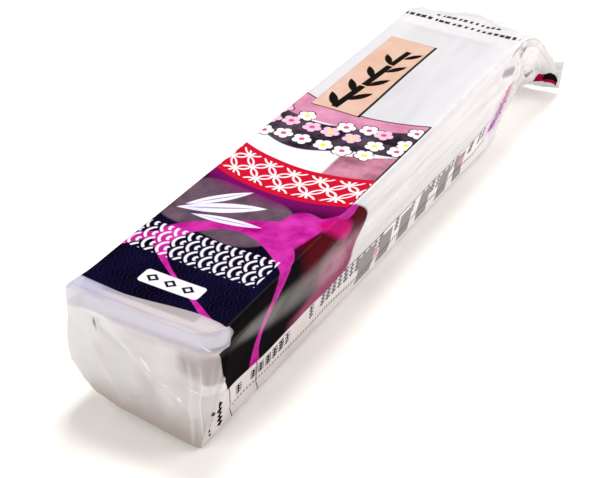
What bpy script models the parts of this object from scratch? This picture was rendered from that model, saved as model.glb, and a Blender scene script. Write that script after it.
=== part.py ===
"""Slim-roll sushi mold, sealed in its film wrap.

The mold is two moulded pieces: a base with a round-bottomed channel, and a press bar that slides down
the channel onto a ledge. A film tube closes round both, with a seam under it and a seal at each end.

Frame: X along the mold with its near end at -X, Y across, Z up. The origin lies on the resting plane,
under the middle of the mold. All sizes are in metres.
"""

import math

import bmesh
import bpy
from mathutils import Vector

MM = 0.001

# Gaps and walls
CLEARANCE = 0.3 * MM
WALL = 1.6 * MM
RIM_THICKNESS = 1.8 * MM
FILM_THICKNESS = 0.4 * MM
SEAL_THICKNESS = 0.4 * MM

# Roll channel: a half-round floor, straight sides and a ledge that stops the press bar
ROLL_DIAMETER = 26.4 * MM
LEDGE_WIDTH = 2.5 * MM
LEDGE_ABOVE_ROLL_CENTRE = 10.1 * MM
CHANNEL_LIFT = 2.0 * MM

# Base: rim with a turned-down lip, standing on a slotted skirt
BASE_LENGTH = 210 * MM
END_OVERHANG = 1.0 * MM
END_WALL = 2.0 * MM
SIDE_RIM = 8.9 * MM
LIP_HEIGHT = 5.7 * MM
LIP_DRAFT = 0.6 * MM
RIM_EDGE_RADIUS = 1.6 * MM
RIM_CORNER_RADIUS = 7.0 * MM
SIDE_OVERHANG = 3.6 * MM
SKIRT_DRAFT = 2.2 * MM
SLOT_COUNT = 5
SLOT_LENGTH = 21 * MM
SLOT_HEIGHT = 6.5 * MM
SLOT_BELOW_LIP = 1.6 * MM

# Press bar: a recessed top with grip ribs, over the arch that shapes the roll
BAR_SIDE_CLEARANCE = 0.4 * MM
BAR_END_CLEARANCE = 1.0 * MM
BAR_POINT_ANGLE = math.radians(28)
BAR_SKIN = 2.0 * MM
BAR_RECESS_DEPTH = 3.1 * MM
BAR_BORDER = 2.4 * MM
BAR_TIP_WIDTH = 0.8 * MM
BAR_HEADROOM = 6.0 * MM
RIB_PITCH = 3.2 * MM
RIB_WIDTH = 1.4 * MM
RIB_HEIGHT = 0.7 * MM

# Film wrap: a tube round the mold, and its far end that is drawn down to a slit
FLOOR_FOLD_RADIUS = 0.8 * MM
SLIT_HEIGHT = 0.4 * MM
TENT_LENGTH = 50 * MM
TENT_STATIONS = 14
TENT_BULGE = 4.0
TENT_EDGE_BULGE = 2.7
TENT_SPREAD = 0.2 * MM
GUSSET_WIDTH = 19 * MM
GUSSET_PULL = 0.8
GUSSET_START = 0.35

# Seals
SEAM_WIDTH = 10 * MM
SEAM_OFFSET = 3 * MM
NEAR_SEAL_LENGTH = 16 * MM
NEAR_SEAL_SET_IN = 2.5 * MM
FAR_SEAL_SPREAD = 1.5 * MM
FAR_SEAL_HEIGHT = 12 * MM
FAR_SEAL_THICKNESS = 0.8 * MM
FAR_SEAL_LEAN = math.radians(5)
CRIMP_COUNT = 5
CRIMP_DEPTH = 0.35 * MM

# Heights, from the resting plane up
floor_bottom = SEAL_THICKNESS + CLEARANCE
foot_z = floor_bottom + FILM_THICKNESS + CLEARANCE
roll_radius = ROLL_DIAMETER / 2
roll_centre_z = foot_z + CHANNEL_LIFT + WALL + roll_radius
ledge_z = roll_centre_z + LEDGE_ABOVE_ROLL_CENTRE
recess_floor_z = roll_centre_z + roll_radius + BAR_SKIN
bar_top_z = recess_floor_z + BAR_RECESS_DEPTH
rim_top_z = bar_top_z + BAR_HEADROOM
lip_bottom_z = rim_top_z - LIP_HEIGHT
film_top_z = rim_top_z + CLEARANCE + FILM_THICKNESS

# Half widths and half lengths of the base and of the film round it
channel_half = roll_radius + LEDGE_WIDTH
rim_half_width = channel_half + SIDE_RIM
rim_half_length = BASE_LENGTH / 2
skirt_half_width = rim_half_width - SIDE_OVERHANG
skirt_half_length = rim_half_length - END_OVERHANG
skirt_top_z = rim_top_z - RIM_THICKNESS / 2
skirt_slope = SKIRT_DRAFT / (skirt_top_z - foot_z)
channel_half_length = skirt_half_length - END_WALL
film_offset = CLEARANCE + FILM_THICKNESS
film_lip_half = rim_half_width + film_offset
film_top_half = film_lip_half - LIP_DRAFT
film_floor_half = skirt_half_width - SKIRT_DRAFT + film_offset
film_top_fold = RIM_EDGE_RADIUS + film_offset
lip_share = (lip_bottom_z - floor_bottom) / (film_top_z - floor_bottom)
mouth_half = film_lip_half + TENT_SPREAD
far_seal_half = mouth_half + FAR_SEAL_SPREAD
film_end_x = rim_half_length + film_offset
mouth_x = film_end_x + TENT_LENGTH
mouth_top_z = floor_bottom + 2 * FILM_THICKNESS + SLIT_HEIGHT
hinge_x = mouth_x + CLEARANCE + FAR_SEAL_THICKNESS / 2
hinge_z = (floor_bottom + mouth_top_z) / 2


def material(name, colour, roughness):
    """A plain Principled finish: linear colour and roughness."""
    made = bpy.data.materials.new(name)
    made.use_nodes = True
    shader = made.node_tree.nodes["Principled BSDF"]
    shader.inputs["Base Color"].default_value = (*colour, 1.0)
    shader.inputs["Roughness"].default_value = roughness
    return made


def add_object(name, bm, finish=None):
    """Turns a bmesh into a named object whose faces point outwards."""
    bmesh.ops.recalc_face_normals(bm, faces=bm.faces)
    if bm.calc_volume(signed=True) < 0:
        bmesh.ops.reverse_faces(bm, faces=bm.faces)
    mesh = bpy.data.meshes.new(name)
    bm.to_mesh(mesh)
    bm.free()
    made = bpy.data.objects.new(name, mesh)
    bpy.context.scene.collection.objects.link(made)
    if finish is not None:
        mesh.materials.append(finish)
    return made


def loft(rings, back_to_first=False):
    """A skin through rings of equal point counts, capped at its ends or led back to its first ring."""
    bm = bmesh.new()
    loops = [[bm.verts.new(point) for point in ring] for ring in rings]
    pairs = list(zip(loops, loops[1:]))
    if back_to_first:
        pairs.append((loops[-1], loops[0]))
    else:
        bm.faces.new(loops[0])
        bm.faces.new(loops[-1])
    for low, high in pairs:
        for i in range(len(low)):
            j = (i + 1) % len(low)
            bm.faces.new((low[i], low[j], high[j], high[i]))
    return bm


def extrude_along(axis, outline, start, end):
    """A prism of a flat outline between two places on the X or Y axis."""
    if axis == "X":
        return loft([[Vector((at, a, b)) for a, b in outline] for at in (start, end)])
    return loft([[Vector((a, at, b)) for a, b in outline] for at in (start, end)])


def arc(centre, radius, first, last, steps):
    """Points on a circle from one angle to another, in degrees."""
    angles = [math.radians(first + (last - first) * i / steps) for i in range(steps + 1)]
    return [(centre[0] + radius * math.cos(a), centre[1] + radius * math.sin(a)) for a in angles]


def rounded_rectangle(half_x, half_y, radius, steps=6):
    """A rectangle about the origin with rounded corners, counter-clockwise."""
    x, y = half_x - radius, half_y - radius
    corners = [(x, y, 0), (-x, y, 90), (-x, -y, 180), (x, -y, 270)]
    return [p for cx, cy, turn in corners for p in arc((cx, cy), radius, turn, turn + 90, steps)]


def plate_rings(half_x, half_y, radius, levels):
    """Rings of a rounded plate: each level is a height and how far its edge is drawn in."""
    rings = []
    for z, inset in levels:
        outline = rounded_rectangle(half_x - inset, half_y - inset, radius - inset)
        rings.append([Vector((x, y, z)) for x, y in outline])
    return rings


def cut_off(bm, point, normal):
    """Cuts away what lies past a plane and closes the cut with one face."""
    cut = bmesh.ops.bisect_plane(
        bm,
        geom=bm.verts[:] + bm.edges[:] + bm.faces[:],
        dist=1e-7,
        plane_co=Vector(point),
        plane_no=Vector(normal),
        clear_outer=True,
    )
    edges = [e for e in cut["geom_cut"] if isinstance(e, bmesh.types.BMEdge)]
    bmesh.ops.contextual_create(bm, geom=edges)


def pointed_prism(outline, tip):
    """A prism along X whose two ends are cut to blunt points in plan, with their tips at +-tip."""
    bm = extrude_along("X", outline, -tip - WALL, tip + WALL)
    across, along = math.sin(BAR_POINT_ANGLE), math.cos(BAR_POINT_ANGLE)
    for end in (-1, 1):
        for side in (-1, 1):
            cut_off(bm, (end * tip, 0, 0), (end * along, side * across, 0))
    return bm


def drafted_prism(outline, half_length):
    """A prism along X whose ends lean in as they go down, at the slope of the skirt's end walls."""
    bm = extrude_along("X", outline, -half_length - WALL, half_length + WALL)
    for end in (-1, 1):
        cut_off(bm, (end * half_length, 0, rim_top_z), (end, 0, -skirt_slope))
    return bm


def channel_outline(grow, top_z):
    """The channel's section, a half-round floor below a wider throat, grown outwards by a wall."""
    low, high = roll_radius + grow, channel_half + grow
    step_z = ledge_z - grow
    floor = arc((0, roll_centre_z), low, 180, 360, 24)
    left = [(-high, top_z), (-high, step_z), (-low, step_z)]
    right = [(low, step_z), (high, step_z), (high, top_z)]
    return left + floor + right


def bar_outline():
    """The bar's section: a head that rests on the ledge, over two tips joined by the roll's arch."""
    head = channel_half - BAR_SIDE_CLEARANCE
    plunger = roll_radius - BAR_SIDE_CLEARANCE
    seat_z = ledge_z + CLEARANCE
    tip_angle = math.degrees(math.acos((plunger - BAR_TIP_WIDTH) / roll_radius))
    arch = arc((0, roll_centre_z), roll_radius, 180 - tip_angle, tip_angle, 16)
    tip_z = arch[0][1]
    left = [(-head, bar_top_z), (-head, seat_z), (-plunger, seat_z), (-plunger, tip_z)]
    right = [(plunger, tip_z), (plunger, seat_z), (head, seat_z), (head, bar_top_z)]
    return left + arch + right


def use_boolean(target, cutter, operation):
    """Adds a live boolean; the cutter is only a guide, so it is hidden from renders."""
    cutter.hide_render = True
    cutter.display_type = "WIRE"
    modifier = target.modifiers.new(cutter.name, "BOOLEAN")
    modifier.operation = operation
    modifier.solver = "EXACT"
    modifier.object = cutter


def merge(bm, other):
    """Copies another bmesh into this one as a separate body."""
    scratch = bpy.data.meshes.new("scratch")
    other.to_mesh(scratch)
    other.free()
    bm.from_mesh(scratch)
    bpy.data.meshes.remove(scratch)


def skirt_wall():
    """The tapered skirt the base stands on: a tube, open below, whose top is buried in the rim."""
    radius = RIM_CORNER_RADIUS
    outer = [(foot_z, SKIRT_DRAFT), (skirt_top_z, 0)]
    inner = [(foot_z - WALL, SKIRT_DRAFT + WALL * (1 + skirt_slope)), (skirt_top_z + WALL, WALL)]
    skirt = add_object("skirt", loft(plate_rings(skirt_half_length, skirt_half_width, radius, outer)))
    hollow = loft(plate_rings(skirt_half_length, skirt_half_width, radius, inner))
    use_boolean(skirt, add_object("skirt_hollow", hollow), "DIFFERENCE")
    return skirt


def side_slots():
    """Long round-ended slots through both sides of the skirt, just under the lip."""
    radius = SLOT_HEIGHT / 2
    straight = SLOT_LENGTH / 2 - radius
    centre_z = lip_bottom_z - SLOT_BELOW_LIP - radius
    inside = (channel_half + WALL + skirt_half_width - SKIRT_DRAFT - WALL) / 2
    outside = rim_half_width + WALL
    bm = bmesh.new()
    for i in range(SLOT_COUNT):
        x = BASE_LENGTH * ((i + 0.5) / SLOT_COUNT - 0.5)
        outline = arc((x + straight, centre_z), radius, -90, 90, 8)
        outline += arc((x - straight, centre_z), radius, 90, 270, 8)
        for side in (-1, 1):
            merge(bm, extrude_along("Y", outline, side * inside, side * outside))
    return add_object("side_slots", bm)


def mold_base(finish):
    """The base: a rim with a turned-down lip, joined to the skirt and to the channel's shell."""
    edge = [
        (rim_top_z - RIM_EDGE_RADIUS * (1 - s), LIP_DRAFT + RIM_EDGE_RADIUS * (1 - c))
        for c, s in arc((0, 0), 1, 0, 90, 4)
    ]
    rim_levels = [(lip_bottom_z, 0)] + edge
    rim = loft(plate_rings(rim_half_length, rim_half_width, RIM_CORNER_RADIUS, rim_levels))
    base = add_object("mold_base", rim, finish)

    under = [(lip_bottom_z - WALL, WALL), (rim_top_z - RIM_THICKNESS, WALL + LIP_DRAFT)]
    under_rings = plate_rings(rim_half_length, rim_half_width, RIM_CORNER_RADIUS, under)
    use_boolean(base, add_object("under_rim", loft(under_rings)), "DIFFERENCE")
    use_boolean(base, skirt_wall(), "UNION")

    shell = drafted_prism(channel_outline(WALL, skirt_top_z), channel_half_length + END_WALL / 2)
    use_boolean(base, add_object("channel_shell", shell), "UNION")
    cavity = drafted_prism(channel_outline(0, rim_top_z + WALL), channel_half_length)
    use_boolean(base, add_object("channel", cavity), "DIFFERENCE")
    use_boolean(base, side_slots(), "DIFFERENCE")
    return base


def grip_ribs(half_length, half_width):
    """Ridges across the recess at a steady pitch, sunk a little into its floor and its two sides."""
    count = int(2 * half_length / RIB_PITCH)
    sunk = RIB_HEIGHT / 2
    bm = bmesh.new()
    for i in range(count):
        x = (i - (count - 1) / 2) * RIB_PITCH
        low, high = recess_floor_z - sunk, recess_floor_z + RIB_HEIGHT
        outline = [
            (x - RIB_WIDTH / 2, low),
            (x + RIB_WIDTH / 2, low),
            (x + RIB_WIDTH / 2, recess_floor_z),
            (x + RIB_WIDTH / 4, high),
            (x - RIB_WIDTH / 4, high),
            (x - RIB_WIDTH / 2, recess_floor_z),
        ]
        merge(bm, extrude_along("Y", outline, -half_width - sunk, half_width + sunk))
    return add_object("grip_ribs", bm)


def press_bar(finish):
    """The bar, pointed at both ends, with its recess and the ribs in it."""
    outline = bar_outline()
    lowest_z = min(z for y, z in outline)
    tip = channel_half_length - (rim_top_z - lowest_z) * skirt_slope - BAR_END_CLEARANCE
    bar = add_object("press_bar", pointed_prism(outline, tip), finish)

    half_width = channel_half - BAR_SIDE_CLEARANCE - BAR_BORDER
    recess_tip = tip - BAR_BORDER / math.cos(BAR_POINT_ANGLE)
    low, high = recess_floor_z, bar_top_z + WALL
    opening = [(-half_width, low), (half_width, low), (half_width, high), (-half_width, high)]
    use_boolean(bar, add_object("bar_recess", pointed_prism(opening, recess_tip)), "DIFFERENCE")

    straight = recess_tip - half_width * math.tan(BAR_POINT_ANGLE)
    use_boolean(bar, grip_ribs(straight, half_width), "UNION")
    return bar


def smooth_step(share):
    """A share from 0 to 1, eased at both ends."""
    share = min(max(share, 0.0), 1.0)
    return share * share * (3 - 2 * share)


def inward(start, end):
    """The unit normal to the left of the way from one point to another."""
    along = (Vector(end) - Vector(start)).normalized()
    return Vector((-along.y, along.x))


def moved_corner(corner, before, after, distance):
    """Where a corner lands when both edges that meet in it move inwards by a distance."""
    return Vector(corner) + (before + after) * distance / (1 + before.dot(after))


def wrap_ring(x, drawn, inset):
    """The film's section at x. drawn runs from 0 round the mold to 1 at the slit; inset is inwards.

    Round the mold the sides bend at the rim's lip. Towards the slit they are tucked in: they turn into
    straight gussets from a narrow floor to a wide top, and the top's edges fall before its middle.
    """

    def between(round_mold, at_slit, share=drawn):
        return round_mold + (at_slit - round_mold) * share

    def height(bulge):
        return between(film_top_z, mouth_top_z, drawn**bulge)

    middle_z, edge_z = height(TENT_BULGE), height(TENT_EDGE_BULGE)
    floor = Vector((between(film_floor_half, GUSSET_WIDTH / 2, drawn**GUSSET_PULL), floor_bottom))
    top = Vector((between(film_top_half, mouth_half), edge_z))
    tucked = smooth_step(drawn / GUSSET_START)
    lip = Vector((film_lip_half, floor.y + (top.y - floor.y) * lip_share))
    lip = lip.lerp(floor.lerp(top, lip_share), tucked)

    low, high = inward(floor, lip), inward(lip, top)
    floor_inside = moved_corner(floor, Vector((0, 1)), low, inset)
    top_inside = moved_corner(top, high, Vector((0, -1)), inset)
    lip_inside = moved_corner(lip, low, high, inset)
    lip = lip_inside.lerp(floor_inside.lerp(top_inside, lip_share), tucked)
    floor, top, middle_z = floor_inside, top_inside, middle_z - inset

    room = (top.y - floor.y) / 4
    floor_fold = min(FLOOR_FOLD_RADIUS - inset, room)
    top_fold = min(film_top_fold - inset, room)
    right = arc((floor.x - floor_fold, floor.y + floor_fold), floor_fold, 270, 360, 3)
    right.append((lip.x, lip.y))
    right += arc((top.x - top_fold, top.y - top_fold), top_fold, 0, 90, 4)
    right.append((top.x / 2, between(middle_z, top.y, 1 / 4)))
    left = [(-y, z) for y, z in reversed(right)]
    return [Vector((x, y, z)) for y, z in right + [(0, middle_z)] + left]


def film_wrap(finish):
    """The film round the mold: an outer and an inner skin, closed at the near end."""
    outer = [wrap_ring(-film_end_x, 0, 0), wrap_ring(film_end_x, 0, 0)]
    inner = [
        wrap_ring(-film_end_x + FILM_THICKNESS, 0, FILM_THICKNESS),
        wrap_ring(film_end_x, 0, FILM_THICKNESS),
    ]
    return add_object("film_wrap", loft(outer + inner[::-1]), finish)


def film_far_end(finish):
    """The film past the mold: the same two skins, drawn down to the slit."""
    outer, inner = [], []
    start = CLEARANCE / TENT_LENGTH
    for i in range(TENT_STATIONS + 1):
        drawn = start + (1 - start) * i / TENT_STATIONS
        x = film_end_x + TENT_LENGTH * drawn
        outer.append(wrap_ring(x, drawn, 0))
        inner.append(wrap_ring(x, drawn, FILM_THICKNESS))
    return add_object("film_far_end", loft(outer + inner[::-1], back_to_first=True), finish)


def back_seam(finish):
    """The long seal that closes the film into a tube, lying flat under the wrap."""
    near_x = -film_end_x + NEAR_SEAL_SET_IN + NEAR_SEAL_LENGTH + CLEARANCE
    half = SEAM_WIDTH / 2
    outline = [
        (SEAM_OFFSET - half, 0),
        (SEAM_OFFSET + half, 0),
        (SEAM_OFFSET + half, SEAL_THICKNESS),
        (SEAM_OFFSET - half, SEAL_THICKNESS),
    ]
    return add_object("back_seam", extrude_along("X", outline, near_x, mouth_x), finish)


def near_end_seal(finish):
    """The near seal, folded back flat under the wrap, a little narrower than the mold's foot."""
    half_length = NEAR_SEAL_LENGTH / 2
    centre_x = -film_end_x + NEAR_SEAL_SET_IN + half_length
    half_width = film_floor_half - FLOOR_FOLD_RADIUS
    plan = [(-1, -1), (1, -1), (1, 1), (-1, 1)]
    rings = [
        [Vector((centre_x + sx * half_length, sy * half_width, z)) for sx, sy in plan]
        for z in (0, SEAL_THICKNESS)
    ]
    return add_object("near_end_seal", loft(rings), finish)


def far_end_seal(finish):
    """The far seal: a crimped band that stands up from the slit, with a round foot on its fold line."""
    half = FAR_SEAL_THICKNESS / 2
    pitch = (FAR_SEAL_HEIGHT - FAR_SEAL_THICKNESS) / (2 * CRIMP_COUNT)
    waves = [(FAR_SEAL_THICKNESS + i * pitch, CRIMP_DEPTH * (i % 2)) for i in range(2 * CRIMP_COUNT + 1)]
    outline = arc((0, 0), half, 180, 360, 6)
    outline += [(half + wave, up) for up, wave in waves]
    outline += [(-half + wave, up) for up, wave in reversed(waves)]
    band = add_object("far_end_seal", extrude_along("Y", outline, -far_seal_half, far_seal_half), finish)
    band.location = (hinge_x, 0, hinge_z)
    band.rotation_euler = (0, FAR_SEAL_LEAN, 0)
    return band


def main():
    for old in list(bpy.data.objects):
        bpy.data.objects.remove(old)
    white_plastic = material("white_polypropylene", (0.87, 0.86, 0.90), 0.35)
    bar_plastic = material("white_polypropylene_bar", (0.90, 0.89, 0.92), 0.35)
    printed_film = material("printed_clear_film", (0.30, 0.16, 0.26), 0.12)
    far_film = material("clear_film", (0.84, 0.83, 0.85), 0.12)
    seam_film = material("seam_film", (0.80, 0.78, 0.80), 0.15)
    folded_film = material("near_seal_film", (0.82, 0.81, 0.83), 0.15)
    crimped_film = material("crimped_film", (0.55, 0.35, 0.42), 0.20)

    mold_base(white_plastic)
    press_bar(bar_plastic)
    film_wrap(printed_film)
    film_far_end(far_film)
    back_seam(seam_film)
    near_end_seal(folded_film)
    far_end_seal(crimped_film)


main()
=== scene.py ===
"""Slim-roll sushi mold, dressed: the white mold and its press bar in a crumpled, printed film wrap.

The film is one closed skin. It starts at a pole in the middle of the near face, spreads over that face,
runs along the mold as a tube, is drawn down past the mold's far end and stands up there as a crimped seal.
Its shape is worked out in millimetres, in the part's own frame.
"""

from functools import reduce
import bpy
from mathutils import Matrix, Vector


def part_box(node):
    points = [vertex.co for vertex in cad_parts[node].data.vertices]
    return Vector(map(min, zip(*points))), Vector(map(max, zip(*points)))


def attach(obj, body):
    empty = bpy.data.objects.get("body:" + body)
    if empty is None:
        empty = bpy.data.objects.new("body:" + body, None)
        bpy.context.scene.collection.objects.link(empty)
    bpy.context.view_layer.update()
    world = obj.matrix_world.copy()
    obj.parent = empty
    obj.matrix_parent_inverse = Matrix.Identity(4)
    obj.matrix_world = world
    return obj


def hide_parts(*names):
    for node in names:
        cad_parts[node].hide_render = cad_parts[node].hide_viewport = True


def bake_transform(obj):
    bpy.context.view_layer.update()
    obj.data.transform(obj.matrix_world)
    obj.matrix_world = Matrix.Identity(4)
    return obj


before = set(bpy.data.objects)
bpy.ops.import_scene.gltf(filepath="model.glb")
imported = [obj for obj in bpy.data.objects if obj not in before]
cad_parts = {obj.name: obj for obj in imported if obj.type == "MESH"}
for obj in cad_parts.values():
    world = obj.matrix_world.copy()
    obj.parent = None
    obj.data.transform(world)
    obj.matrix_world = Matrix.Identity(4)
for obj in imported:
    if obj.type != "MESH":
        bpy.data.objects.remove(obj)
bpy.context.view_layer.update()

from types import SimpleNamespace

import bpy
import numpy as np
from mathutils import Matrix

MM = 0.001

# The film's own heights and reaches, in millimetres, from the CAD nodes it stands for
wrap_low, wrap_high = (np.array(corner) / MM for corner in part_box("film_wrap"))
mold_high = np.array(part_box("mold_base")[1]) / MM
NEAR_X = wrap_low[0]
TUBE_END_X = wrap_high[0]
SLIT_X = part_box("film_far_end")[1][0] / MM
TOP_Z = wrap_high[2] - 0.2
FLOOR_Z = 0.62
SLIT_Z = 1.15
RIM_Y = mold_high[1] + 0.45
FOOT_Y = wrap_high[1] - 5.9
LIP_Z = mold_high[2] - 5.3

# The far seal's half width and height, how far in its gussets reach, and the pitch of its ribs
SEAL_HALF = 25.5
SEAL_HEIGHT = 11.6
GUSSET_Y = 9.5
RIB_PITCH = 1.25

# The middle of the near face, as (y, z), where the skin starts
POLE = np.array([1.0, 20.0])

# The print's layout, in mm on the flat film: its top across, and the red band and the blossoms along. The
# print bows by so many mm along for each square mm across, and the blossoms' parts slant as well
PRINTED_TOP = (-24.6, 27.5)
RED_BAND = (72.5, 91.4)
BLOSSOM_PICTURE = (90.0, 132.8)
BOW = -0.0093
SLANT = 0.2


def smooth(value, low, high):
    """0 below low, 1 above high, and between them the cubic that is level at both ends."""
    share = np.clip((value - low) / (high - low), 0.0, 1.0)
    return share * share * (3.0 - 2.0 * share)


def bell(value, centre, width):
    """A bell curve of height 1: e to the minus square of the distance over the width."""
    return np.exp(-(((value - centre) / width) ** 2))


def rounded_rings(corners, reach, counts):
    """Closed rings through rows of corner points, shape (rows, corners, 2).

    Each corner is a quadratic curve between the two points that lie its reach away from it, or at most
    half way to its neighbours. Even runs join the curves. counts holds, for each corner, how many points
    its curve and the run after it take.
    """
    after = np.roll(corners, -1, axis=1) - corners
    length = np.linalg.norm(after, axis=2, keepdims=True)
    back_length = np.roll(length, 1, axis=1)
    forward = after / length
    backward = -np.roll(forward, 1, axis=1)
    leave = corners + forward * np.minimum(reach[:, :, None], length / 2)
    enter = corners + backward * np.minimum(reach[:, :, None], back_length / 2)
    parts = []
    for k, (on_curve, on_run) in enumerate(counts):
        t = np.linspace(0, 1, on_curve, endpoint=False)[None, :, None]
        a, b, c = enter[:, k, None], corners[:, k, None], leave[:, k, None]
        parts.append((1 - t) ** 2 * a + 2 * t * (1 - t) * b + t**2 * c)
        t = np.linspace(0, 1, on_run, endpoint=False)[None, :, None]
        following = enter[:, (k + 1) % len(counts), None]
        parts.append(c + (following - c) * t)
    return np.concatenate(parts, axis=1)


# For each corner of the section: its reach in mm, points on its curve, points on the run after it. The ring
# starts in the middle of the underside, goes up the right side, over the top and down the left side
SECTION_CORNERS = [
    (4, 2, 22),
    (0.5, 4, 10),
    (0.6, 5, 20),
    (6, 5, 18),
    (6, 6, 3),
    (2.5, 5, 7),
    (2.3, 10, 40),
    (8, 4, 40),
    (2.3, 10, 7),
    (2.5, 5, 3),
    (4, 6, 18),
    (9, 5, 20),
    (3, 5, 10),
    (0.5, 4, 22),
]
SECTION_REACH = np.array([float(reach) for reach, _, _ in SECTION_CORNERS])
SECTION_COUNTS = [counts for _, *counts in SECTION_CORNERS]


def section(x):
    """The film's section at each x, as rings of (y, z).

    Round the mold it is a box with its sides drawn in to the mold's foot and a small step under the lip.
    Near the near end its left side bulges. Past the mold the top comes down with the fourth power of the
    way, its edges a little sooner, and each side turns into a gusset from a narrow floor to the wide top.
    """
    drawn = np.clip((x - TUBE_END_X) / (SLIT_X - TUBE_END_X), 0, 1)
    tucked = smooth(drawn, 0.0, 0.35)
    near = bell(x, NEAR_X, 30.0)
    corner = bell(x, NEAR_X, 7.0)
    raised = bell(x, NEAR_X, 10.0)
    top = SLIT_Z + 0.35 + (TOP_Z - SLIT_Z - 0.35) * (1 - drawn**4.0)
    edge_top = SLIT_Z + 0.3 + (TOP_Z - SLIT_Z - 0.3) * (1 - drawn**2.7)
    low = FLOOR_Z + (SLIT_Z - 0.35 - FLOOR_Z) * drawn
    rings = []
    for side, bulging, sharpness in ((-1, 0.12, 0.0), (1, 1.0, 1.0)):
        bulge = near * bulging
        sharp = corner * sharpness
        lifted = raised * sharpness
        foot = FOOT_Y - 1.0 * bulge
        fold_y = foot + (GUSSET_Y - foot) * drawn**0.8
        fold_z = low + 0.45 + 3.3 * lifted - 0.15 * drawn
        edge_y = RIM_Y - 0.25 + sharp + (SEAL_HALF - RIM_Y + 0.25) * drawn
        points = []
        for share, y, z in (
            (0.45, 22.7 + 4.6 * bulge, 17.5 - 4.0 * bulge),
            (0.84, RIM_Y - 0.45 + 1.45 * bulge, LIP_Z - 6.0),
            (0.89, RIM_Y + sharp, LIP_Z + 0.3),
        ):
            line_y = fold_y + (edge_y - fold_y) * share
            line_z = fold_z + (edge_top - fold_z) * share
            points.append((y + (line_y - y) * tucked, z + (line_z - z) * tucked))
        lower, under_lip, lip = points
        bottom = (fold_y - 0.3 - 6.0 * lifted, low + 2.0 * lifted)
        corners = [bottom, (fold_y, fold_z), lower, under_lip, lip, (edge_y, edge_top)]
        rings.append([(side * y, z + 0 * x) for y, z in corners])
    middle_low = (0 * x, low + 1.2 * raised)
    middle_top = (0 * x, top - 0.15 * (1 - tucked))
    order = [middle_low, *rings[0], middle_top, *rings[1][::-1]]
    corners = np.stack([np.stack([y + 0 * x, z + 0 * x], axis=1) for y, z in order], axis=1)
    return rounded_rings(corners, np.repeat(SECTION_REACH[None, :], len(x), axis=0), SECTION_COUNTS)


def edge_drop(distance, radius, power):
    """How far a rounded edge lies back, a distance inside its outline: a superellipse of that power."""
    share = np.clip(1 - distance / radius, 0, 1)
    return radius * (1 - (1 - share**power) ** (1 / power))


def near_face_x(points, outline):
    """Where the near face lies along x, for points (..., 2) of (y, z) in its outline.

    It is level with the rim's end, rounds back at its top, bottom and sides by superellipses, and its
    lower left part lies back by up to 2.6 mm. The right side's rounding is a facet that widens upwards.
    """
    y, z = points[..., 0], points[..., 1]
    starts = np.cumsum([0] + [a + b for a, b in SECTION_COUNTS])
    right = outline[starts[1] : starts[6] + 5]
    left = outline[starts[8] + 5 : starts[13] + 4][::-1]
    width_right = np.interp(z, right[:, 1], -right[:, 0])
    width_left = np.interp(z, left[:, 1], left[:, 0])
    rise = np.clip(z / LIP_Z, 0, 1)
    right_drop = edge_drop(width_right + y, 0.8 + 6.2 * rise, 1.35 + 0.65 * smooth(z, 33, 38))
    left_drop = edge_drop(width_left - y, 0.6 + 1.6 * bell(z, 10, 9), 2.0)
    top_drop = edge_drop(outline[:, 1].max() - z, 1.5, 2.0)
    bottom = np.concatenate([outline[: starts[1]][::-1], outline[starts[13] :][::-1]])
    low_drop = edge_drop(z - np.interp(y, bottom[:, 0], bottom[:, 1]), 0.9, 2.0)
    drop = (right_drop**3 + left_drop**3 + top_drop**3 + low_drop**3) ** (1 / 3)
    recess = 2.0 * smooth(y, -16, 19) * (1 - smooth(z, 0, 20))
    bow = -0.5 * bell(y, -6, 14) * smooth(z, 26, 38)
    return NEAR_X + drop + recess + bow


def seal_path(height):
    """The seal's middle line past the slit: level, then a short bend, then up, leaning out by 5 degrees.

    Gives x, z and the angle turned so far, for each height along the line.
    """
    bend_radius, turn = 0.7, np.radians(85.0)
    bend = bend_radius * turn
    angle = np.clip(height / bend, 0, 1) * turn
    up = np.clip(height - bend, 0, None)
    x = SLIT_X + bend_radius * np.sin(angle) + up * np.cos(turn)
    z = SLIT_Z + bend_radius * (1 - np.cos(angle)) + up * np.sin(turn)
    return x, z, angle


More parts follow.
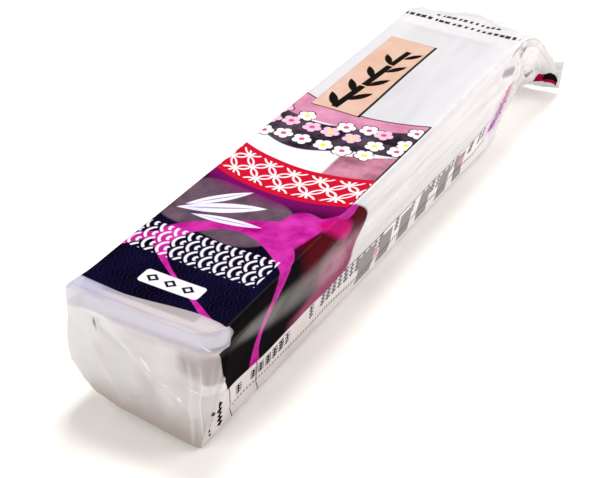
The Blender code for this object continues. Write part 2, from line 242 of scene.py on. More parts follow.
def film_grid():
    """The film before it is crumpled: the near face, the tube, the drawn-down end and the seal, row by row.

    Gives its points (rows, columns, 3), where each lies on the flat film as (along, round) in mm, and how
    many rows come before the tube and before the seal.
    """
    outline = section(np.array([NEAR_X]))[0]
    columns = outline.shape[0]

    # The near face, its rows crowding towards its edge
    share = 1 - (1 - np.linspace(0.03, 1, 42)) ** 1.9
    face = POLE + (outline - POLE)[None] * share[:, None, None]
    face_x = near_face_x(face, outline)
    cap = np.concatenate([face_x[..., None], face], axis=2)
    to_edge = np.linalg.norm(outline - POLE, axis=1)[None] * (share[:, None] - 1)

    # The tube round the mold, finer by the near end
    start = face_x[-1]
    stations = np.concatenate([np.linspace(0, 46, 58)[1:], np.linspace(46, TUBE_END_X - NEAR_X, 102)[1:]])
    nominal = NEAR_X + stations
    way = stations / stations[-1]
    tube_x = start[None] + (TUBE_END_X - start)[None] * way[:, None]
    tube = np.concatenate([tube_x[..., None], section(nominal)], axis=2)

    # The drawn-down end, its rows crowding towards the slit
    tent_share = 1 - (1 - np.linspace(0, 1, 66)[1:]) ** 1.5
    tent_x = TUBE_END_X + (SLIT_X - TUBE_END_X) * tent_share
    rings = section(tent_x)
    tent = np.concatenate([np.repeat(tent_x[:, None, None], columns, 1), rings], axis=2)

    # The seal: the ring at the slit, carried along the seal's path and turned with it
    height = np.concatenate([np.linspace(0, 1.2, 7)[1:], np.linspace(1.2, SEAL_HEIGHT, 40)[1:]])
    x, z, angle = seal_path(height)
    ply = rings[-1][:, 1] - SLIT_Z
    seal = np.empty((len(height), columns, 3))
    seal[..., 0] = x[:, None] - np.sin(angle)[:, None] * ply
    seal[..., 1] = rings[-1][:, 0]
    seal[..., 2] = z[:, None] + np.cos(angle)[:, None] * ply

    points = np.concatenate([cap, tube, tent, seal])

    # The flat film: round from the top line, by the tube's middle ring, and along by the length of that line
    middle = tube[len(tube) // 2]
    step = np.linalg.norm(np.diff(middle, axis=0, append=middle[:1]), axis=1)
    around = np.concatenate([[0], np.cumsum(step)[:-1]])
    top_column = sum(a + b for a, b in SECTION_COUNTS[:7]) + 2
    around -= around[top_column]

    crest = points[len(cap) - 1 :, top_column]
    run = np.concatenate([[0], np.cumsum(np.linalg.norm(np.diff(crest, axis=0), axis=1))])
    along = np.concatenate([to_edge, np.repeat(run[1:, None], columns, 1)])
    along[len(cap) : len(cap) + len(tube)] = tube_x - NEAR_X
    along[len(cap) + len(tube) :] += TUBE_END_X - NEAR_X - along[len(cap) + len(tube), 0] + 0.5
    flat = np.stack([along, np.repeat(around[None], len(points), 0)], axis=2)
    return points, flat, len(cap), len(points) - len(height)


def grid_normals(points):
    """Unit normals of a grid that is closed round its columns: the cross product of its two slopes."""
    down = np.gradient(points, axis=0)
    across = np.roll(points, -1, axis=1) - np.roll(points, 1, axis=1)
    normal = np.cross(down, across)
    length = np.linalg.norm(normal, axis=2, keepdims=True)
    return normal / np.maximum(length, 1e-9)


def crease(points, path, depth, width):
    """A fold along a line: depth times e to the minus distance over width, tapered towards both ends.

    Gives its height, and how strong a painted highlight along the fold is: e to the minus square of distance
    over 0.7 mm.
    """
    path = np.array(path, float)
    run = np.concatenate([[0], np.cumsum(np.linalg.norm(np.diff(path, axis=0), axis=1))])
    nearest = np.full(points.shape[:-1], np.inf)
    where = np.zeros(points.shape[:-1])
    for k in range(len(path) - 1):
        leg = path[k + 1] - path[k]
        share = np.clip((points - path[k]) @ leg / (leg @ leg), 0, 1)
        distance = np.linalg.norm(points - path[k] - share[..., None] * leg, axis=-1)
        closer = distance < nearest
        nearest = np.where(closer, distance, nearest)
        where = np.where(closer, (run[k] + share * (run[k + 1] - run[k])) / run[-1], where)
    taper = np.sqrt(np.clip(np.sin(np.pi * np.clip(where, 0.02, 0.98)), 0, 1))
    return depth * taper * np.exp(-nearest / width), taper * np.exp(-((nearest / 0.7) ** 2))


def ripples(flat, seed, wavelength, stretch, turn=0.0):
    """Soft waves over the flat film: a sum of sines in random directions, drawn out along x by stretch."""
    rng = np.random.default_rng(seed)
    total = np.zeros(flat.shape[:-1])
    for _ in range(14):
        angle = rng.uniform(0, np.pi)
        size = 2 * np.pi / (wavelength * rng.uniform(0.6, 1.7))
        kx, ky = size * np.cos(angle) / stretch, size * np.sin(angle)
        a = flat[..., 0] * np.cos(turn) + flat[..., 1] * np.sin(turn)
        b = flat[..., 1] * np.cos(turn) - flat[..., 0] * np.sin(turn)
        total += np.sin(kx * a + ky * b + rng.uniform(0, 2 * np.pi))
    return total / np.sqrt(14)


# Folds in the film: points of each line, how far it stands proud (or lies in, below 0), and its width
NEAR_CREASES = [
    ([(-105, 22.5, 36.3), (-105.7, 16.1, 32.7), (-105.7, 10.5, 28.7), (-105.7, 2.4, 23.8)], -1.9, 2.4),
    ([(-105.7, 1.5, 28.5), (-105.7, 0.2, 25.5), (-105.7, -3.4, 20.5)], 1.3, 1.6),
    ([(-105.7, 16.5, 35.8), (-105.7, 15.8, 32.0), (-105.7, 17.0, 28.5)], -0.8, 1.2),
    ([(-105.7, -6.5, 20.6), (-105.7, -12.1, 16.9), (-105.7, -18.2, 12.4)], 0.7, 1.5),
    ([(-105.7, -15.6, 32), (-105.7, -16.6, 22), (-105.7, -16.9, 11), (-105.7, -16.8, 1)], 0.7, 1.1),
    ([(-105.0, -19.2, 34), (-105.2, -19.4, 24), (-105.4, -19.2, 12), (-105.6, -19.0, 1)], -0.6, 0.9),
    ([(-105.7, 20.0, 30.0), (-105.7, 14.0, 18.0), (-105.0, 8.0, 6.0)], 0.6, 3.0),
    ([(-105.7, 8.0, 33.0), (-105.7, -4.0, 31.5), (-105.7, -15.0, 32.8)], -0.5, 2.2),
    ([(-105.7, -8.5, 17.5), (-105.7, -9.6, 14.5), (-105.7, -8.8, 11.0)], 0.6, 1.0),
    ([(-103.0, -23.6, 34.5), (-104.0, -22.4, 24.0), (-105.4, -20.4, 8.0)], 0.5, 1.2),
    ([(-100.5, -24.6, 33.0), (-102.4, -22.8, 22.0), (-104.6, -20.2, 6.0)], -0.6, 1.2),
    ([(-98.6, -25.0, 36.0), (-99.6, -22.6, 18.0), (-101.0, -20.2, 4.0)], 0.5, 1.6),
]

FAR_CREASES = [
    ([(106, -25.0, 42.0), (116, -21.0, 43.0), (124, -12.0, 42.0)], 0.8, 2.2),
    ([(107, -24.5, 38.0), (118, -24.0, 38.0), (129.5, -24.0, 31.5)], -1.6, 2.2),
    ([(129.5, -24.0, 31.0), (131, -16.0, 36.0), (128, -6.0, 40.0)], -1.5, 2.4),
    ([(133.0, -24.5, 34.0), (139, -14.0, 32.0), (144, -4.0, 28.0)], 1.0, 2.2),
    ([(145.5, -25.0, 23.0), (147, -16.0, 22.0), (150, -6.0, 17.0)], -1.2, 2.0),
    ([(152.0, -25.0, 15.0), (150, -14.0, 19.0), (146, -2.0, 26.0), (138, 10, 35)], 0.9, 2.2),
    ([(108, -24.0, 30.0), (124, -21.0, 24.0), (140, -18.0, 16.0)], 1.1, 2.4),
    ([(110, -23.0, 22.0), (126, -19.0, 15.0), (142, -14.0, 8.0)], -1.2, 2.0),
    ([(124.0, 24.0, 41.0), (133, 12.0, 38.0), (136, 2.0, 36.0)], -1.0, 2.6),
    ([(140.0, 25.0, 32.0), (146, 14.0, 26.0), (152, 4.0, 15.0)], -1.0, 2.2),
    ([(112.0, 25.0, 36.0), (124, 23.0, 28.0), (140, 19.0, 14.0)], 1.0, 2.4),
    ([(113.0, -24.5, 41.0), (114, -24.0, 34.0), (112, -23.0, 26.0)], -0.8, 1.4),
]


def crumple(points, flat, cap_rows, seal_rows):
    """Moves the film along its normals: ripples all over, and the folds of the near face and far end.

    Gives the moved points, and how strong the painted highlight along the folds is at each of them.
    """
    x, y, z = points[..., 0], points[..., 1], points[..., 2]
    row = np.arange(len(points))[:, None] + 0 * x
    near = bell(x, NEAR_X, 9.0)
    tent = smooth(x, TUBE_END_X - 3, TUBE_END_X + 12) * (row < seal_rows)
    side = smooth(np.abs(y), 18.5, 20.5) * (1 - smooth(z, 34, 37)) * smooth(z, 1.5, 6)
    pinned = smooth(z, 0.9, 4.0)

    flat_near = np.stack([y + 0.8 * (x - NEAR_X), z + 0.6 * (x - NEAR_X)], axis=2)
    way_out = np.linspace(0, 1, cap_rows)[:, None]
    lift = 0.08 * ripples(flat, 3, 26, 2.2) * (row >= cap_rows) * smooth(x, NEAR_X, NEAR_X + 12)
    lift += near * 0.25 * ripples(flat_near, 5, 15, 1.0) * smooth(z, 1.0, 6.0)
    away = smooth(x, NEAR_X + 3, NEAR_X + 18)
    loose = 0.3 * ripples(flat, 8, 24, 1.6) - 0.3 * np.abs(ripples(flat, 9, 17, 2.0))
    lift += away * side * (1 - tent) * loose
    lift += tent * (0.45 * ripples(flat, 12, 24, 1.4) - 0.35 * np.abs(ripples(flat, 14, 15, 1.2)))
    lift += tent * 0.2 * np.abs(ripples(flat, 15, 8, 1.0))
    face = np.zeros(row.shape)
    face[:cap_rows] = (1 - smooth(way_out, 0.8, 1.0)) * smooth(41 - z[:cap_rows], 0, 6)
    lift += face * (0.3 * ripples(flat_near, 21, 17, 1.0) - 0.25 * np.abs(ripples(flat_near, 22, 10, 1.0)))
    # Painted highlights along the folds: white lines where the film is creased
    white = np.zeros(x.shape)
    near_zone = x < NEAR_X + 14
    far_zone = (x > TUBE_END_X - 1) & (row < seal_rows)
    for zone, creases in ((near_zone, NEAR_CREASES), (far_zone, FAR_CREASES)):
        for path, depth, width in creases:
            height, highlight_line = crease(points, path, depth, width)
            lift += np.where(zone, height, 0)
            white = np.maximum(white, np.where(zone, highlight_line, 0) * min(abs(depth), 1.0))
    slack = 1 - smooth(x, SLIT_X - 7, SLIT_X - 0.5)
    lift *= pinned * np.where(x > TUBE_END_X, slack, 1)
    # The rim is tight under the film: there the film may only rise
    lift = np.where((z > LIP_Z - 0.5) & (x < TUBE_END_X + 2), np.maximum(lift, -0.12), lift)
    outward = grid_normals(points)
    share = smooth(way_out, 0.7, 0.95)[..., None]
    outward[:cap_rows] = outward[:cap_rows] * share + np.array([-1.0, 0, 0]) * (1 - share)
    moved = points + outward * lift[..., None]

    ear = np.clip((-9.0 - y) / 16.0, 0, 1) ** 2 * smooth(x, SLIT_X - 18, SLIT_X)
    other_ear = np.clip((y - 12.0) / 14.0, 0, 1) ** 2 * smooth(x, SLIT_X - 18, SLIT_X)
    up = np.clip((z - SLIT_Z) / SEAL_HEIGHT, 0, 1) * (row >= seal_rows)
    moved[..., 0] += ear * (1.8 + 0.9 * up) + other_ear * 0.7 * up
    moved[..., 1] -= ear * 1.2
    moved[..., 2] += ear * 1.1 + other_ear * 0.4
    band = row >= seal_rows
    wave = 0.16 * np.sin(2 * np.pi * (flat[..., 0] / RIB_PITCH)) * smooth(up, 0.05, 0.2)
    buckle = (0.5 * ripples(flat * [0.25, 1.0], 31, 16, 1.0)) * up
    moved[..., 0] += band * (wave + buckle)
    moved[..., 2] = np.maximum(moved[..., 2], 0.45)
    return moved, white


def closed_skin(name, points, flat, pole=True):
    """A mesh of a grid that is closed round its columns, with the flat film in mm as its UV map.

    It is shut by one face at its last row, and at its first row by a point and a fan, or by a face as well.
    """
    rows, columns = points.shape[:2]
    index = np.arange(rows * columns).reshape(rows, columns)
    following = np.roll(index, -1, axis=1)
    quads = np.stack([index[:-1], following[:-1], following[1:], index[1:]], axis=2).reshape(-1, 4)
    vertices, uv = points.reshape(-1, 3), flat.reshape(-1, 2)
    if pole:
        vertices = np.concatenate([vertices, points[0].mean(axis=0)[None]])
        uv = np.concatenate([uv, flat[0].mean(axis=0)[None]])
        first = np.stack([np.full(columns, rows * columns), following[0], index[0]], axis=1).tolist()
    else:
        first = [index[0, ::-1].tolist()]
    faces = [*quads.tolist(), *first, index[-1].tolist()]
    mesh = bpy.data.meshes.new(name)
    mesh.from_pydata((vertices * MM).tolist(), [], faces)

    # The columns meet in one line. Faces across it read their first column one whole turn further on
    corner = np.empty(len(mesh.loops), np.int32)
    mesh.loops.foreach_get("vertex_index", corner)
    values = uv[corner]
    face_of = np.repeat(np.arange(len(faces)), [len(face) for face in faces])
    across_line = np.zeros(len(faces), bool)
    across_line[face_of[np.isin(corner, index[:, -1])]] = True
    across_line[-1] = False
    turn = 2 * flat[0, -1, 1] - flat[0, -2, 1] - flat[0, 0, 1]
    values[np.isin(corner, index[:, 0]) & across_line[face_of], 1] += turn
    layer = mesh.uv_layers.new(name="flat_film_mm")
    layer.uv.foreach_set("vector", values.astype(np.float32).ravel())
    mesh.polygons.foreach_set("use_smooth", np.ones(len(faces), bool))
    mesh.update()
    return put_in_scene(name, mesh)


def srgb(code):
    """A colour written as sRGB hex, turned to linear."""
    parts = [int(code[k : k + 2], 16) / 255 for k in (1, 3, 5)]
    linear = [p / 12.92 if p <= 0.04045 else ((p + 0.055) / 1.055) ** 2.4 for p in parts]
    return (*linear, 1.0)


def add(kind, inputs=(), output=0, tree=None, **settings):
    """Adds a node with its settings, feeds its inputs from numbers or other sockets, gives one output.

    A second word in kind is its operation. It goes into the tree that its inputs come from, and a node
    with no linked input is told its tree.
    """
    kind, _, operation = kind.partition(" ")
    if operation:
        settings["operation"] = operation
    inputs = inputs if isinstance(inputs, dict) else dict(enumerate(inputs))
    linked = {key: value for key, value in inputs.items() if isinstance(value, bpy.types.NodeSocket)}
    tree = tree or next(iter(linked.values())).id_data
    made = tree.nodes.new("ShaderNode" + kind)
    for name, value in settings.items():
        setattr(made, name, value)
    for key, value in inputs.items():
        if key in linked:
            tree.links.new(value, made.inputs[key])
        else:
            made.inputs[key].default_value = value
    return made.outputs[output] if made.outputs else None


# Turns a MapRange node from a straight ramp into one that is level at both ends
EASED = {"interpolation_type": "SMOOTHSTEP"}


def node_material(name):
    """A new node material with no nodes in it yet, and its tree."""
    made = bpy.data.materials.new(name)
    made.use_nodes = True
    made.node_tree.nodes.clear()
    return made, made.node_tree


def above(value, level, blur=0.2):
    """1 where a value in mm is above a level, with an edge as wide as blur."""
    past = add("Math SUBTRACT", (value, level))
    return add("Math MULTIPLY_ADD", (past, 1 / blur, 0.5), use_clamp=True)


def apart(value, other):
    """How far two values lie apart."""
    return add("Math ABSOLUTE", (add("Math SUBTRACT", (value, other)),))


def between(value, low, high, blur=0.2):
    """1 where a value lies between low and high."""
    return above((high - low) / 2, apart(value, (low + high) / 2), blur)


def wave(value, rate, start, swing, middle):
    """A sine wave: swing times the sine of a value times rate plus start, about a middle."""
    turn = add("Math MULTIPLY_ADD", (value, rate, start))
    return add("Math MULTIPLY_ADD", (add("Math SINE", (turn,)), swing, middle))


def both(*masks):
    """1 where all the masks are 1: their product."""
    return reduce(lambda one, other: add("Math MULTIPLY", (one, other)), masks)


def either(*masks):
    """1 where any of the masks is 1: the greatest of them."""
    return reduce(lambda one, other: add("Math MAXIMUM", (one, other)), masks)


def without(mask, other):
    """The mask where the other one is 0."""
    return both(mask, add("Math SUBTRACT", (1.0, other)))


def over(below, mask, colour):
    """Lays a colour on what is below it, where the mask is 1. Each colour is a socket or sRGB hex."""
    below, colour = (srgb(c) if isinstance(c, str) else c for c in (below, colour))
    return add("Mix", {0: mask, 6: below, 7: colour}, output=2, data_type="RGBA")


def laid(below, *layers):
    """Lays pairs of a mask and a colour on what is below them, one after the other."""
    for mask, colour in layers:
        below = over(below, mask, colour)
    return below


def moved_to(where, centre, turn=0.0):
    """Coordinates from a centre, turned by an angle in degrees."""
    away = add("VectorMath SUBTRACT", (where, (*centre, 0)))
    if turn:
        away = add("VectorRotate", {"Vector": away, "Angle": np.radians(turn)}, rotation_type="Z_AXIS")
    return away


def panel(where, centre, half, radius=0.3, turn=0.0, blur=0.2):
    """A rounded rectangle: its corner radius less how far a point lies past its inner corners."""
    size = add("VectorMath ABSOLUTE", (moved_to(where, centre, turn),))
    past = add("VectorMath SUBTRACT", (size, (half[0] - radius, half[1] - radius, 0)))
    past = add("VectorMath MAXIMUM", (past, (0, 0, 0)))
    return above(radius, add("VectorMath LENGTH", (past,), output=1), blur)


def leaf(where, centre, half, turn):
    """A leaf: what two circles share, each as far off the leaf's line as its radius less half its width."""
    length, width = half
    radius = (length**2 + width**2) / (2 * width)
    away = add("VectorMath ABSOLUTE", (moved_to(where, centre, turn),))
    away = add("VectorMath ADD", (away, (0, radius - width, 0)))
    return above(radius, add("VectorMath LENGTH", (away,), output=1))


def leaves(where, *rows):
    """All the leaves of a list, each given by its centre, half size and turn."""
    return either(*(leaf(where, *row) for row in rows))


def ring_lattice(where, radius, line):
    """Interlaced rings: circles on two square lattices, the second moved by half a step."""
    found = []
    for shift in (0.0, 0.5):
        cell = add("VectorMath MULTIPLY_ADD", (where, (0.5 / radius,) * 3, (shift,) * 3))
        cell = add("VectorMath FRACTION", (cell,))
        cell = add("VectorMath SUBTRACT", (cell, (0.5, 0.5, 0)))
        cell = add("VectorMath MULTIPLY", (cell, (2 * radius, 2 * radius, 0)))
        away = add("VectorMath LENGTH", (cell,), output=1)
        found.append(between(away, radius - line, radius, 0.15))
    return either(*found)


def wave_scales(where, radius, rings, share):
    """Overlapping scales in rows half a radius apart, each with rings round its centre.

    Three rows can reach a point. The lowest row whose circle covers it lies in front.
    """
    along, across = add("SeparateXYZ", (where,)).node.outputs[:2]
    row = add("Math FLOOR", (add("Math MULTIPLY", (across, 2 / radius)),))
    nearest = None
    for k in (1, 0, -1):
        this_row = add("Math ADD", (row, float(k)))
        down = add("Math MULTIPLY_ADD", (this_row, -radius / 2, across))
        slid = add("Math MULTIPLY", (this_row, radius))
        slid = add("Math ADD", (along, slid))
        slid = add("Math WRAP", (slid, radius, -radius))
        away = add("VectorMath LENGTH", (add("CombineXYZ", (slid, down, 0.0)),), output=1)
        if nearest is None:
            nearest = away
        else:
            covers = add("Math LESS_THAN", (away, radius))
            nearest = add("Mix", {0: covers, 2: nearest, 3: away})
    ring = add("Math MULTIPLY", (nearest, rings / radius))
    ring = add("Math FRACT", (ring,))
    return between(ring, 0.5 - share / 2, 0.5 + share / 2, 0.12)


def ribbon(along, across, centre, swing, length, start, width):
    """A swept band: the distance from a sine along the film, less a half width that swells and thins."""
    line = wave(along, 2 * np.pi / length, start, swing, centre)
    half = wave(along, 2 * np.pi / (0.6 * length), start * 1.7, 0.3 * width, 0.5 * width)
    return above(half, apart(across, line), 0.3)


def blossoms(where, size, below, first, last):
    """Five-petalled blossoms, one in each cell of a loose pattern, laid over the colour below them.

    Only cells whose middle lies between two places along the bowed, slanted picture have one.
    """
    pattern = {"Vector": where, "Scale": 1 / size, "Randomness": 0.45}
    cell = add("TexVoronoi", pattern, voronoi_dimensions="2D").node.outputs
    away = add("VectorMath SUBTRACT", (where, cell["Position"]))
    reach = add("VectorMath LENGTH", (away,), output=1)
    x, y = add("SeparateXYZ", (away,)).node.outputs[:2]
    chance = add("SeparateXYZ", (cell["Color"],)).node.outputs
    angle = add("Math ARCTAN2", (y, x))
    angle = add("Math MULTIPLY_ADD", (angle, 2.5, chance[0]))
    lobe = add("Math ABSOLUTE", (add("Math COSINE", (angle,)),))
    lobe = add("Math POWER", (lobe, 0.5))
    edge = add("Math MULTIPLY_ADD", (lobe, 0.17 * size, 0.27 * size))
    petals = above(edge, reach, 0.3)
    rim = above(add("Math ADD", (edge, 0.5)), reach, 0.3)
    heart = above(0.13 * size, reach, 0.3)
    ray = both(between(lobe, 0.0, 0.35, 0.1), above(0.3 * size, reach, 0.3))
    middle = add("SeparateXYZ", (cell["Position"],)).node.outputs
    bend = add("Math MULTIPLY_ADD", (middle[1], BOW, SLANT))
    bend = add("Math MULTIPLY_ADD", (bend, middle[1], middle[0]))
    kept = between(bend, first, last)
    pink = add("Math GREATER_THAN", (chance[1], 0.55))
    yellow = add("Math GREATER_THAN", (chance[2], 0.6))
    return laid(
        below,
        (both(rim, kept), "#3b2a3d"),
        (both(petals, kept), over("#f6f2ee", pink, "#e9b9cf")),
        (both(ray, kept), "#d99ab5"),
        (both(heart, kept), over("#c94f86", yellow, "#e3d84c")),
    )


def cells(value, step):
    """Cuts a line into equal cells: a chance number for each, and how far into its cell a point lies."""
    index = add("Math MULTIPLY", (value, 1 / step))
    index = add("Math FLOOR", (index,))
    chance = add("TexWhiteNoise", {1: index}, noise_dimensions="1D")
    return chance, add("Math WRAP", (value, step, 0.0))


def film_places(tree):
    """The sockets that the film's patterns share.

    On the flat film, in mm: where, its parts along and across, side as the distance off the top line, and
    bowed as along on the print, which bows towards the near end. In the part's frame: spot, leftward and
    height in metres, and face in mm across and up. As masks: near_end, top, and glow, the inks' soft mottle.
    """
    where = add("UVMap", tree=tree, uv_map="flat_film_mm")
    along, across = add("SeparateXYZ", (where,)).node.outputs[:2]
    square = add("Math MULTIPLY", (across, across))
    spot = add("TexCoord", output=3, tree=tree)
    leftward, height = add("SeparateXYZ", (spot,)).node.outputs[1:]
    face = add("CombineXYZ", (leftward, height, 0.0))
    glow = add("TexNoise", {"Vector": where, "Scale": 0.09, "Detail": 4.0, "Roughness": 0.65})
    return SimpleNamespace(
        where=where,
        along=along,
        across=across,
        side=add("Math ABSOLUTE", (across,)),
        bowed=add("Math MULTIPLY_ADD", (square, BOW, along)),
        spot=spot,
        leftward=leftward,
        height=height,
        face=add("VectorMath MULTIPLY", (face, (1000, 1000, 1000))),
        near_end=add("MapRange", (along, 10.0, 7.0)),
        top=between(across, *PRINTED_TOP),
        glow=add("MapRange", (glow, 0.35, 0.7)),
    )


def near_end_film(film):
    """Clear film over the mold's end: greyer than white, with painted light on its left, a warm painted
    shade at the foot, lavender over the rim, and over the window a painted shade of the channel behind it.

    Gives its colour, and how far it hides what is behind it.
    """
    patches = add("TexNoise", {"Vector": film.spot, "Scale": 60.0, "Detail": 2.0, "Distortion": 0.3})
    patches = add("MapRange", (patches, 0.4, 0.62))
    left = add("MapRange", (film.leftward, 0.004, 0.019, 0.0, 0.8), **EASED)
    off_foot = add("MapRange", (film.height, 0.002, 0.015), **EASED)
    on_rim = add("MapRange", (film.height, 0.0352, 0.0372))
    on_top = add("MapRange", (film.height, 0.0415, 0.0427))
    to_left = add("MapRange", (film.across, 4.0, 20.0))
    # Random patches, then painted light: the left part of the face lighter
    tone = over(over("#e2dcdd", patches, "#f6f4f4"), left, "#ffffff")
    # Painted shade: a warm grey darkening towards the foot
    tone = over("#cabfb6", off_foot, tone)
    # Over the window, the greyer tones are painted shade of the channel behind the film
    tone = laid(tone, (on_rim, "#e3e0ee"), (on_top, over("#dbd0d2", to_left, "#c1bfda")))
    haze = add("MapRange", (on_rim, 0.0, 1.0, 0.85, 0.42))
    return tone, add("MapRange", (on_top, 0.0, 1.0, haze, 0.66))


def milky_film(film):
    """Colour of the milky film past the near end: greyer on the top and lighter down the sides, as painted
    shade and painted light, with greyer streaks along the sides as painted shade of long crinkles.
    """
    # Painted shade on the top, painted light down the sides
    down = add("MapRange", (film.side, 23.5, 27.0))
    # Painted shade of long crinkles: greyer streaks along the sides
    drawn = add("VectorMath MULTIPLY", (film.where, (0.012, 0.33, 0)))
    drawn = add("TexNoise", {"Vector": drawn, "Scale": 1.0, "Detail": 3.0})
    drawn = both(add("MapRange", (drawn, 0.45, 0.7, 0.0, 0.8)), between(film.side, 27.0, 49.0, 3.0))
    return over("#e9e7ea", down, over("#f4f3f4", drawn, "#d9d3d6"))


def near_face_marks(film, tone):
    """Painted light and shade on the crumpled near face: patches of painted shade and of painted light, a
    bright facet as a painted highlight, a crease's painted shade, and hairline glints as painted highlights.

    Gives the colour with them, and the glints' mask.
    """
    # Two patches of painted shade, a painted highlight on one facet, and two patches of painted light
    for place, half, radius, blur, colour in (
        ((-16.8, 29.8), (4.8, 3.8), 3.0, 3.5, "#beb2b4"),
        ((-22.5, 29.0), (2.6, 5.0), 2.0, 2.5, "#c4b7b5"),
        ((-22.0, 22.2), (2.9, 1.7), 1.2, 0.8, "#ffffff"),
        ((-17.5, 17.0), (1.6, 5.0), 1.4, 1.6, "#f4f0f0"),
        ((7.0, 20.5), (5.5, 7.0), 3.0, 5.0, "#f1f0f0"),
    ):
        mark = panel(film.face, place, half, radius, 0, blur)
        tone = over(tone, both(mark, film.near_end), colour)
    # Painted shade along a crease
    crease_shade = leaf(film.face, (17.0, 31.2), (2.3, 0.3), -70)
    # Hairline glints: painted highlights
    glints = leaves(
        film.face,
        ((-1.5, 25.0), (3.0, 0.5), -52),
        ((8.0, 28.0), (8.6, 0.16), -24),
        ((-12.7, 16.9), (1.0, 0.5), -30),
        ((-19.6, 15.5), (14.5, 0.17), 90),
        ((-21.4, 37.4), (1.7, 0.3), -40),
        ((-17.0, 21.6), (3.4, 0.2), -12),
        ((-8.0, 20.0), (2.2, 0.15), 8),
        ((14.5, 35.6), (2.6, 0.2), -35),
    )
    glints = both(glints, film.near_end)
    return laid(tone, (both(crease_shade, film.near_end), "#776d72"), (glints, "#ffffff")), glints


def ink_edges(film):
    """Masks of all that lies past the clear band, and of the dark field.

    The clear band's edge is a gentle wave over the top that swerves down the side and leans out at the
    foot. The dark field ends in a bulge on the right side, with small swells.
    """
    along, across, side = film.along, film.across, film.side
    swerve = add("MapRange", (side, 24.0, 29.5, 0.0, 3.6), **EASED)
    edge = add("Math ADD", (wave(across, 0.125, 3.33, 1.2, 5.9), swerve))
    lower = add("MapRange", (side, 29.3, 33.2), **EASED)
    low_edge = add("Math MULTIPLY_ADD", (side, 0.15, -6.45))
    foot_edge = add("Math MULTIPLY_ADD", (side, 0.55, -18.85))
    low_edge = add("Mix", {0: above(side, 43.0, 1.0), 2: low_edge, 3: foot_edge})
    past_edge = above(along, add("Mix", {0: lower, 2: edge, 3: low_edge}))

    bulge = add("Math MULTIPLY_ADD", (across, 1 / 13, 38 / 13))
    bulge = add("Clamp", (bulge, -1.2, 1.0))
    bulge = add("Math MULTIPLY", (bulge, bulge))
    dark_end = add("Math MULTIPLY_ADD", (bulge, -6.0, 89.0))
    swell = add("Math MULTIPLY_ADD", (across, 0.331, 11.24))
    swell = add("Math COSINE", (swell,))
    dark_end = add("Math MULTIPLY_ADD", (swell, 2.2, dark_end))
    return past_edge, both(past_edge, above(dark_end, along, 1.2), between(across, -68.0, 27.5))


def dark_field(film):
    """Near-black ink with fine navy waves, and on it a mauve patch, magenta ribbons and pale petals.

    Its end on the right side is dull pink turning to crimson, with a magenta streak along the strip: print,
    dulled and lightened by a painted reflection.
    """
    where, along, across, glow = film.where, film.along, film.across, film.glow
    mottle = add("TexNoise", {"Vector": where, "Scale": 0.05, "Detail": 3.0, "Roughness": 0.6})
    navy = both(add("MapRange", (mottle, 0.4, 0.65)), between(across, -25, 27, 2.0))
    fine_waves = add("Math MULTIPLY", (wave_scales(where, 4.2, 3.0, 0.3), 0.4))
    magenta = over("#a3027a", glow, "#d43cae")
    by_band = add("MapRange", (film.bowed, 63.0, 72.0, 0.0, 0.85), **EASED)
    field = laid(
        over("#040206", navy, "#0c0922"),
        (both(fine_waves, between(across, -24, 25)), "#1d1650"),
        (panel(where, (56.5, 7.0), (14.0, 22.0), 12.0, 8, 1.0), over("#4a3a46", glow, "#72596a")),
        (both(between(along, 49, 92, 7.0), between(across, -37, -20.5, 4.0)), "#4f0410"),
        (panel(where, (57.5, -16.5), (11.0, 6.6), 5.0, 12, 0.8), magenta),
        (panel(where, (71.5, -29.0), (10.5, 3.2), 3.0, 40, 2.5), "#bd0c70"),
        (ribbon(along, across, -6, 21, 84, 5.2, 5.0), magenta),
        (ribbon(across, along, 38, 15, 84, 2.02, 7.0), magenta),
        (both(by_band, between(across, -25, 27)), "#7c0c62"),
    )
    for place, half, turn in (
        ((57.5, 9.0), (14.0, 2.7), 62),
        ((52.0, 4.0), (11.5, 1.7), 80),
        ((62.0, 12.5), (11.0, 1.9), 42),
    ):
        field = over(field, leaf(where, place, half, turn), over("#d9d2ea", glow, "#f6f3fa"))
        field = over(field, leaf(where, place, (half[0] * 0.8, half[1] * 0.16), turn), "#9a8fb6")
    # Print dulled and lightened by a painted reflection, down the right side and along the strip's top
    end = add("MapRange", (along, 50.0, 74.0, 0.0, 0.95), **EASED)
    return laid(
        field,
        (both(end, between(across, -58, -38, 5.0)), over("#85385c", glow, "#b87690")),
        (both(between(along, 47, 92, 12.0), between(across, -56, -48.5, 3.0)), "#94486b"),
    )


def waves_and_badge(film, field):
    """White wave scales across the dark field, and near its end a white badge with dark lozenges."""
    along, across = film.along, film.across
    waves = both(wave_scales(film.where, 5.0, 2.0, 0.36), between(along, 26, 41), between(across, -21.5, 24))
    badge_at = 15.4
    in_row = add("Math WRAP", (across, 3.0, -3.0))
    in_row = add("Math ABSOLUTE", (in_row,))
    lozenge = add("Math MULTIPLY_ADD", (in_row, 0.9, apart(along, badge_at)))
    return laid(
        field,
        (waves, "#e9e2ed"),
        (panel(film.where, (badge_at, -0.6), (3.3, 10.2), 1.3), "#e9e3ee"),
        (both(between(lozenge, 0.9, 2.0), between(across, -9, 9)), "#1d1420"),
    )


